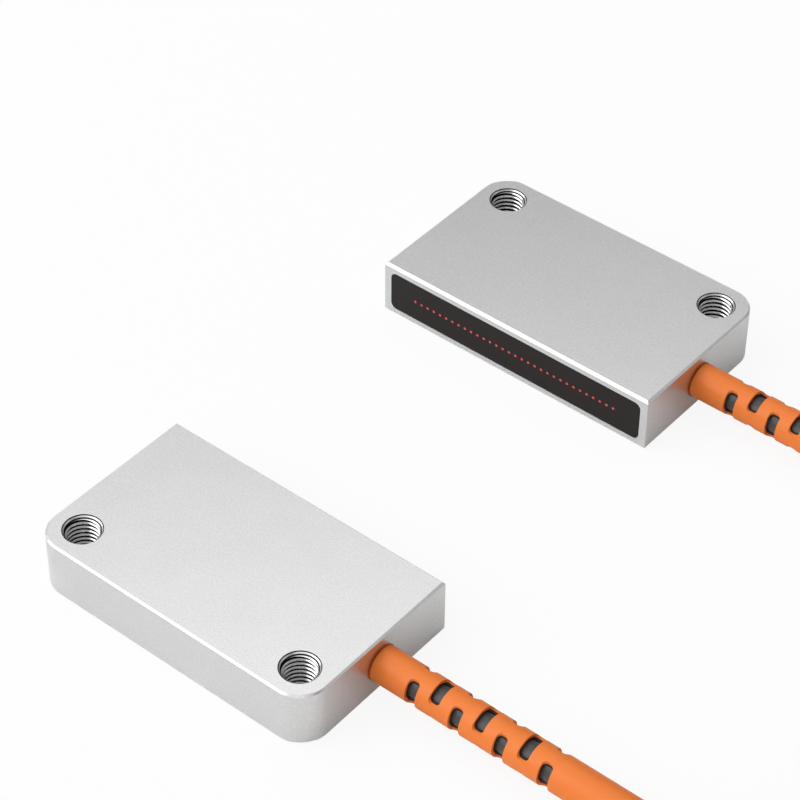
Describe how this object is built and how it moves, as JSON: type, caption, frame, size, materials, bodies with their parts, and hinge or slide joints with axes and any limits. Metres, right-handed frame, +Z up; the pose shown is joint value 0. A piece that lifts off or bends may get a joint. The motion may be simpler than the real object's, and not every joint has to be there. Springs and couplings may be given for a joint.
{
  "type": "fiber optic sensor",
  "caption": "Through-beam fibre optic array sensor: two flat aluminium heads face each other, each with a slotted orange cable boot and a coiled fibre cable.",
  "frame": {"origin": "middle of the sensing gap, on the surface that both heads lie on", "axes": "+X along the rows of fibres, towards the cables; +Y from the emitter to the receiver; +Z up"},
  "size_m": [0.1016, 0.0773, 0.014],
  "materials": {
    "satin_aluminium": "fine bead-blasted, clear anodised",
    "black_potting": "lapped smooth",
    "optical_fibre": "polished ends, lit red",
    "orange_boot": "moulded, satin",
    "grey_jacket": "extruded jacket, slight sheen",
    "strap": "flat hook-and-loop strap",
    "ferrule_metal": "turned"
  },
  "bodies": {
    "root": {"emitter_housing": "satin_aluminium", "emitter_groove_block": "black_potting", "emitter_clamp_block": "black_potting", "emitter_fibres": "optical_fibre", "emitter_boot": "orange_boot", "emitter_cable": "grey_jacket", "emitter_cable_coil": "grey_jacket", "emitter_coil_tie": "strap", "emitter_end_ferrule": "ferrule_metal", "emitter_end_bundle": "optical_fibre", "receiver_housing": "satin_aluminium", "receiver_groove_block": "black_potting", "receiver_clamp_block": "black_potting", "receiver_fibres": "optical_fibre", "receiver_boot": "orange_boot", "receiver_cable": "grey_jacket", "receiver_cable_coil": "grey_jacket", "receiver_coil_tie": "strap", "receiver_end_ferrule": "ferrule_metal", "receiver_end_bundle": "optical_fibre"}
  },
  "joints": []
}
